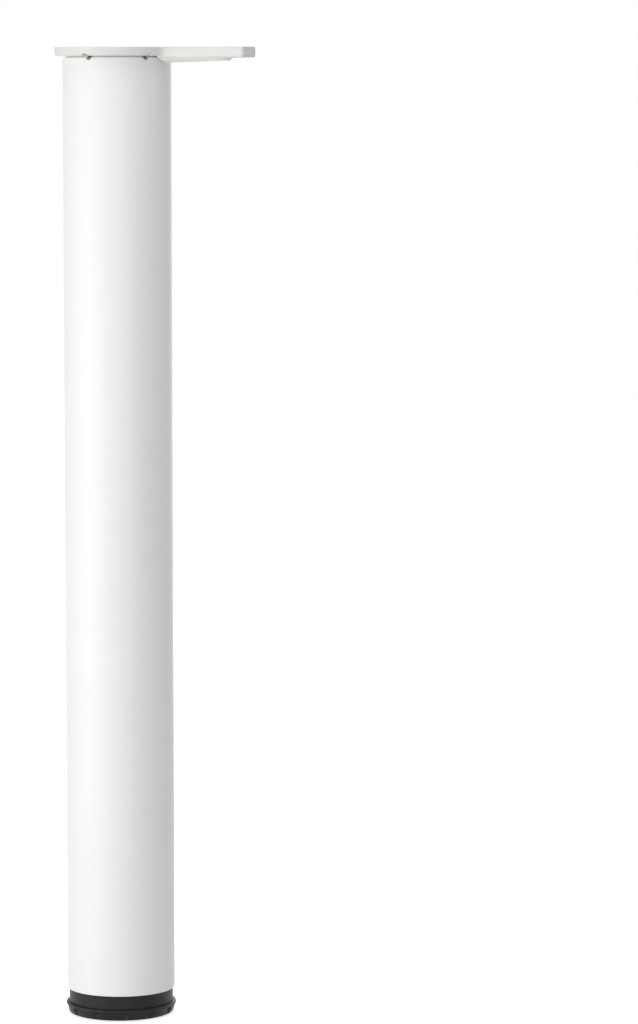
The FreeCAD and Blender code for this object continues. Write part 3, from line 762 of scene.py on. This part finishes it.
# Spindle: a hexagon-headed screw whose head is moulded into the foot. A drilled and grooved blind hole
# in the head takes the glide's snap stud.
spindle_low, spindle_high, _ = span("spindle")
HEAD_HEIGHT = 6.4
STUD_BORE_R = 3.1
STUD_GROOVE_R = 3.7
STUD_GROOVE = (8.3, 10.1)
STUD_BORE_TOP = 11.0

head = turned_hexagon("screw_spindle", NUT_AF, spindle_low, spindle_low + HEAD_HEIGHT)
shank = threaded_rod("shank", SPINDLE_R, SPINDLE_THREAD_DEPTH, SPINDLE_PITCH, spindle_low + HEAD_HEIGHT / 2,
                     spindle_high, SPINDLE_R - SPINDLE_THREAD_DEPTH, SPINDLE_R - SPINDLE_THREAD_DEPTH, 48)
combine(head, [shank], "UNION", THREAD_SHARP)
stud_bore = lathe("bore", [Vector(point) for point in (
    (0, spindle_low - PROUD), (STUD_BORE_R, spindle_low - PROUD), (STUD_BORE_R, STUD_GROOVE[0]),
    (STUD_GROOVE_R, STUD_GROOVE[0]), (STUD_GROOVE_R, STUD_GROOVE[1]), (STUD_BORE_R, STUD_GROOVE[1]),
    (STUD_BORE_R, STUD_BORE_TOP), (0, STUD_BORE_TOP))], BORE_SEGMENTS)
combine(head, [stud_bore], "DIFFERENCE", THREAD_SHARP)
dress(head, zinc, "spindle", "foot")


# Adjusting foot: one black moulding round the spindle's head. A smooth skirt slides in the tube, a lip
# closes on the tube's end, and a tapered grip with twelve rounded grooves under it is turned by hand.
foot_low, foot_high, _ = span("adjusting_foot")
SKIRT_R = 38.7
SKIRT_WALL = 3.0
LIP_R = 41.0
LIP_TOP = 9.0
LIP_BOTTOM = 7.0
GRIP_TOP = 6.6
GRIP_TOP_R = 40.4
BASE_R = 38.8
BASE_EDGE = ((-0.9, 0.0), (-0.26, 0.25), (0.12, 0.8))
LIP_EDGE = ((-0.15, -0.1), (0.0, 0.3))
LIP_ROUNDING = 1.1
GROOVES = 12
GROOVE_R = 4.4
GROOVE_CENTRE = 42.3
GROOVE_PHASE = math.radians(4)
GROOVE_SOFTNESS = 0.35
GROOVE_RUNOUT = 1.2
GRIP_LEVELS = 12
GRIP_LEVELS_IN_EDGE = 3
GROOVE_SEGMENTS = 32
FOOT_RECESS_R = 35.0
FOOT_RECESS_TOP = 2.4
FOOT_FLOOR_TOP = 5.4
FOOT_POCKET_R = 11.4
FOOT_BOSS_R = 14.04
FOOT_BOSS_TOP = 24.1
FOOT_RIBS = 8
FOOT_RIB_WIDTH = 2.0
FOOT_RIB_TOP = 18.0
FOOT_RIB_SINK = 1.0
FOOT_RIB_CORNER = 0.5
FOOT_RIB_EDGE = 0.4
SKIRT_EDGE = 0.8
SKIRT_INNER_EDGE = 0.6
FOOT_FILLET = 1.2
FOOT_BOSS_EDGE = 0.8
SMALL_EDGE = 0.3
BLACK = (0.008, 0.008, 0.0078, 1)
BLACK_SHEEN_LEVEL = 0.25


def grooved(turn, radius, height):
    """Radius of the foot's outside, drawn in where a grip groove passes."""
    if height > GRIP_TOP or radius < FOOT_RECESS_R + PROUD:
        return radius
    pitch = math.tau / GROOVES
    off = (turn - GROOVE_PHASE + pitch / 2) % pitch - pitch / 2
    side = GROOVE_CENTRE * math.sin(off)
    if abs(side) >= GROOVE_R:
        return radius
    groove = GROOVE_CENTRE * math.cos(off) - math.sqrt(GROOVE_R ** 2 - side ** 2)
    sunk = max(0.0, radius - groove)
    softened = sunk * sunk / (sunk + GROOVE_SOFTNESS)
    runout = min(1.0, (GRIP_TOP - height) / GROOVE_RUNOUT)
    return radius - softened * math.sqrt(max(0.0, 1 - (1 - runout) ** 2))


def foot_outline():
    """Half section of the foot: base, grip, lip, skirt, then down inside over floor and boss."""
    base = [(BASE_R + out, foot_low + up, 0) for out, up in BASE_EDGE]
    grip = []
    for step in range(GRIP_LEVELS_IN_EDGE, GRIP_LEVELS + 1):
        share = step / GRIP_LEVELS
        grip.append((BASE_R + (GRIP_TOP_R - BASE_R) * share, foot_low + (GRIP_TOP - foot_low) * share, 0))
    lip = [(LIP_R + out, LIP_BOTTOM + up, 0) for out, up in LIP_EDGE]
    return rounded([(FOOT_RECESS_R, foot_low, SMALL_EDGE)] + base + grip + lip + [
        (LIP_R, LIP_TOP, LIP_ROUNDING), (SKIRT_R, LIP_TOP, 0), (SKIRT_R, foot_high, SKIRT_EDGE),
        (SKIRT_R - SKIRT_WALL, foot_high, SKIRT_INNER_EDGE),
        (SKIRT_R - SKIRT_WALL, FOOT_FLOOR_TOP, FOOT_FILLET), (FOOT_BOSS_R, FOOT_FLOOR_TOP, FOOT_FILLET),
        (FOOT_BOSS_R, FOOT_BOSS_TOP, FOOT_BOSS_EDGE), (SPINDLE_R, FOOT_BOSS_TOP, SMALL_EDGE),
        (SPINDLE_R, spindle_low, 0), (FOOT_POCKET_R, spindle_low, 0),
        (FOOT_POCKET_R, FOOT_RECESS_TOP, SMALL_EDGE), (FOOT_RECESS_R, FOOT_RECESS_TOP, SMALL_EDGE)])


def foot_rib(angle):
    """One of the ribs that stand on the foot's floor between its boss and its skirt."""
    half = FOOT_RIB_WIDTH / 2
    start = FOOT_BOSS_R - FOOT_RIB_WIDTH
    end = SKIRT_R - SKIRT_WALL + half
    plan = rounded([(start, -half, FOOT_RIB_CORNER), (end, -half, FOOT_RIB_CORNER),
                    (end, half, FOOT_RIB_CORNER), (start, half, FOOT_RIB_CORNER)], 2)
    rib = slab("rib", plan, FOOT_FLOOR_TOP - FOOT_RIB_SINK, FOOT_RIB_TOP, 0, FOOT_RIB_EDGE, 3)
    return swung(rib, angle)


foot = lathe("foot", foot_outline(), GROOVES * GROOVE_SEGMENTS, grooved)
combine(foot, [foot_rib(360 * index / FOOT_RIBS) for index in range(FOOT_RIBS)], "UNION")
combine(foot, [hexagon("head_pocket", NUT_AF, spindle_low - PROUD, spindle_low + HEAD_HEIGHT)], "DIFFERENCE")
black_plastic = coated("black moulded plastic", BLACK, ripple_per_metre=2600.0, depth=0.00001,
                       cloudiness=0.15, satin=0.4)
black_shader = black_plastic.node_tree.nodes["Principled BSDF"]
black_shader.inputs["Specular IOR Level"].default_value = BLACK_SHEEN_LEVEL
dress(foot, black_plastic, "adjusting_foot", "foot")


# Glide pad: a moulded disc of slippery plastic that stays still on the floor while the foot turns. Its
# stud snaps into the spindle's head.
_, glide_high, GLIDE_R = span("glide_pad")
GLIDE_THICKNESS = 2.1
GLIDE_BOSS_R = 11.0
GLIDE_BOSS_TOP = 4.6
STUD_R = 3.0
BEAD_R = 3.4
STUD_TIP_R = 2.4
BEAD_LEVELS = (8.6, 9.0, 9.4, 9.8)
GLIDE_EDGE = 0.8
GLIDE_RIM = 0.4
GLIDE_FILLET = 0.6
STUD_FILLET = 0.2
STUD_EDGE = 0.3
GLIDE_GREY = (0.09, 0.09, 0.09, 1)

bead = [(radius, level, 0) for radius, level in zip((STUD_R, BEAD_R, BEAD_R, STUD_R), BEAD_LEVELS)]
pad = lathe("glide", rounded([
    (0, 0, 0), (GLIDE_R, 0, GLIDE_EDGE), (GLIDE_R, GLIDE_THICKNESS, GLIDE_RIM),
    (GLIDE_BOSS_R, GLIDE_THICKNESS, GLIDE_FILLET), (GLIDE_BOSS_R, GLIDE_BOSS_TOP, GLIDE_RIM),
    (STUD_R, GLIDE_BOSS_TOP, STUD_FILLET)] + bead + [
    (STUD_TIP_R, glide_high, STUD_EDGE), (0, glide_high, 0)], 4), TURNED_SEGMENTS)
glide_plastic = coated("glide plastic", GLIDE_GREY, ripple_per_metre=1800.0, depth=0.00001,
                       cloudiness=0.1, satin=0.5)
dress(pad, glide_plastic, "glide_pad", "glide")


# Glide washer: a flat steel washer, punched from strip and zinc plated. It lies on the pad's boss and
# takes the thrust of the spindle's head.
washer_low, washer_high, washer_r = span("glide_washer")
WASHER_BORE_R = 3.2
WASHER_EDGE = 0.1
WASHER_ROLLED_EDGE = 0.3
WASHER_SEGMENTS = 96

washer = lathe("thrust_washer", rounded([
    (WASHER_BORE_R, washer_low, WASHER_EDGE), (washer_r, washer_low, WASHER_ROLLED_EDGE),
    (washer_r, washer_high, WASHER_EDGE), (WASHER_BORE_R, washer_high, WASHER_EDGE)], 3), WASHER_SEGMENTS)
dress(washer, zinc, "glide_washer", "foot")


# Floor and light: a wide pale floor that keeps the leg's soft shadow, a white surround that the camera
# and reflections see, and four soft lamps. The key lamp stands low on the camera's left, the fill lamp
# beside the camera, the back lamp behind the leg, and the top lamp hangs over it.
FLOOR_HALF = 6.0
FLOOR_GREY = 0.8
FLOOR_LIFT = 0.68
SURROUND = 0.44
LAMP_AIM = Vector((0, 0, 0.36))


def seen_directly(tree):
    """One where the camera, a reflection or a refraction looks, nought for light that bounces."""
    path = tree.nodes.new("ShaderNodeLightPath")
    either = node_of(tree, "ShaderNodeMath", operation="MAXIMUM")
    any_of = node_of(tree, "ShaderNodeMath", operation="MAXIMUM")
    tree.links.new(path.outputs["Is Camera Ray"], either.inputs[0])
    tree.links.new(path.outputs["Is Glossy Ray"], either.inputs[1])
    tree.links.new(either.outputs[0], any_of.inputs[0])
    tree.links.new(path.outputs["Is Transmission Ray"], any_of.inputs[1])
    return any_of.outputs[0]


def pale_floor():
    """White to the camera where no shadow falls, and clear from below so that the foot can be seen."""
    material = bpy.data.materials.new("pale floor")
    material.use_nodes = True
    tree = material.node_tree
    tree.nodes.remove(tree.nodes["Principled BSDF"])
    out = tree.nodes["Material Output"]
    matt = node_of(tree, "ShaderNodeBsdfDiffuse", Color=(FLOOR_GREY, FLOOR_GREY, FLOOR_GREY, 1))
    lift = tree.nodes.new("ShaderNodeEmission")
    strength = node_of(tree, "ShaderNodeMath", operation="MULTIPLY")
    strength.inputs[1].default_value = FLOOR_LIFT
    both = tree.nodes.new("ShaderNodeAddShader")
    tree.links.new(seen_directly(tree), strength.inputs[0])
    tree.links.new(strength.outputs[0], lift.inputs["Strength"])
    tree.links.new(matt.outputs[0], both.inputs[0])
    tree.links.new(lift.outputs[0], both.inputs[1])
    side = tree.nodes.new("ShaderNodeNewGeometry")
    from_below = tree.nodes.new("ShaderNodeBsdfTransparent")
    choose = tree.nodes.new("ShaderNodeMixShader")
    tree.links.new(side.outputs["Backfacing"], choose.inputs["Fac"])
    tree.links.new(both.outputs[0], choose.inputs[1])
    tree.links.new(from_below.outputs[0], choose.inputs[2])
    tree.links.new(choose.outputs[0], out.inputs["Surface"])
    return material


def lamp(name, turn, distance, height, size, power):
    """A soft rectangular lamp, turned by degrees from the camera's side of the leg, that aims at the leg."""
    light = bpy.data.lights.new(name, "AREA")
    light.shape = "RECTANGLE"
    light.size, light.size_y = size
    light.energy = power
    stand = bpy.data.objects.new(name, light)
    bpy.context.scene.collection.objects.link(stand)
    side = CAMERA_AZIMUTH + math.radians(turn)
    stand.location = (distance * math.sin(side), -distance * math.cos(side), height)
    stand.rotation_mode = "QUATERNION"
    stand.rotation_quaternion = (LAMP_AIM - stand.location).to_track_quat("-Z", "Y")


sheet = bmesh.new()
bmesh.ops.create_grid(sheet, x_segments=1, y_segments=1, size=FLOOR_HALF)
floor_mesh = bpy.data.meshes.new("floor")
sheet.to_mesh(floor_mesh)
sheet.free()
floor = bpy.data.objects.new("floor", floor_mesh)
bpy.context.scene.collection.objects.link(floor)
floor_mesh.materials.append(pale_floor())
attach(floor, "glide")
lamp("key lamp", turn=-60, distance=1.7, height=0.27, size=(1.8, 0.5), power=14.6)
lamp("fill lamp", turn=5, distance=3.0, height=0.35, size=(1.4, 1.4), power=16.2)
lamp("back lamp", turn=165, distance=3.0, height=0.6, size=(1.4, 1.4), power=13)
lamp("top lamp", turn=0, distance=0.4, height=1.8, size=(1.0, 1.0), power=6)

world = bpy.data.worlds.new("surround")
world.use_nodes = True
bpy.context.scene.world = world
sky = world.node_tree
background = sky.nodes["Background"]
level = node_of(sky, "ShaderNodeMapRange")
level.inputs["To Min"].default_value = SURROUND
level.inputs["To Max"].default_value = 1.0
background.inputs["Color"].default_value = (1, 1, 1, 1)
sky.links.new(seen_directly(sky), level.inputs["Value"])
sky.links.new(level.outputs["Result"], background.inputs["Strength"])
bpy.context.scene.view_settings.view_transform = "Standard"
